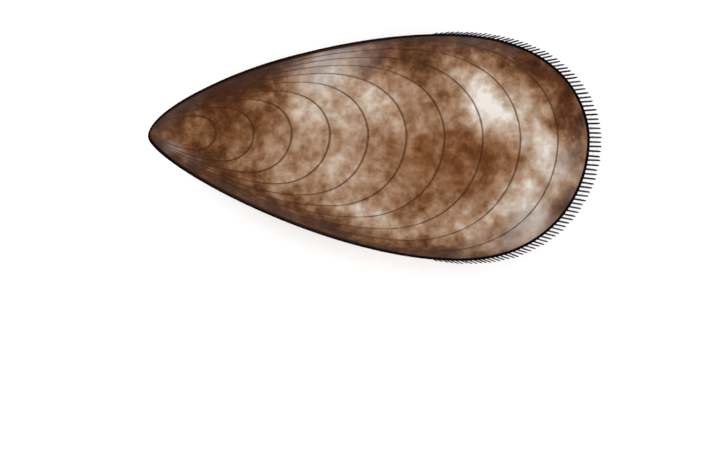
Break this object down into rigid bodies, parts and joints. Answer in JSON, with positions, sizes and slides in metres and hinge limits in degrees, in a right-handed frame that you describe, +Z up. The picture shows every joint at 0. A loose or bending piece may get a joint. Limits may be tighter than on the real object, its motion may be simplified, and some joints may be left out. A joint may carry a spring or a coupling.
{
  "type": "mussel shell",
  "caption": "Closed mussel shell: mirrored wedge-shaped valves with growth ledges, joined by a dark ligament strip and fringed with stiff bristles at the rounded end.",
  "frame": {"origin": "centre of the whole shell's footprint, bristles included, at the height of its lowest point", "axes": "+X towards the rounded posterior end, away from the pointed umbo; +Y towards the dorsal edge, where the ligament is; +Z up, out of the left valve"},
  "size_m": [0.0768, 0.0404, 0.0269],
  "materials": {
    "valve": "mottled brown horny skin over shell, satin, worn paler in patches",
    "ligament": "dark brown, horny and elastic, satin",
    "bristle": "blue-black horny hairs, dull"
  },
  "bodies": {
    "root": {"left_valve": "valve", "right_valve": "valve", "ligament": "ligament", "left_bristles": "bristle", "right_bristles": "bristle"}
  },
  "joints": []
}
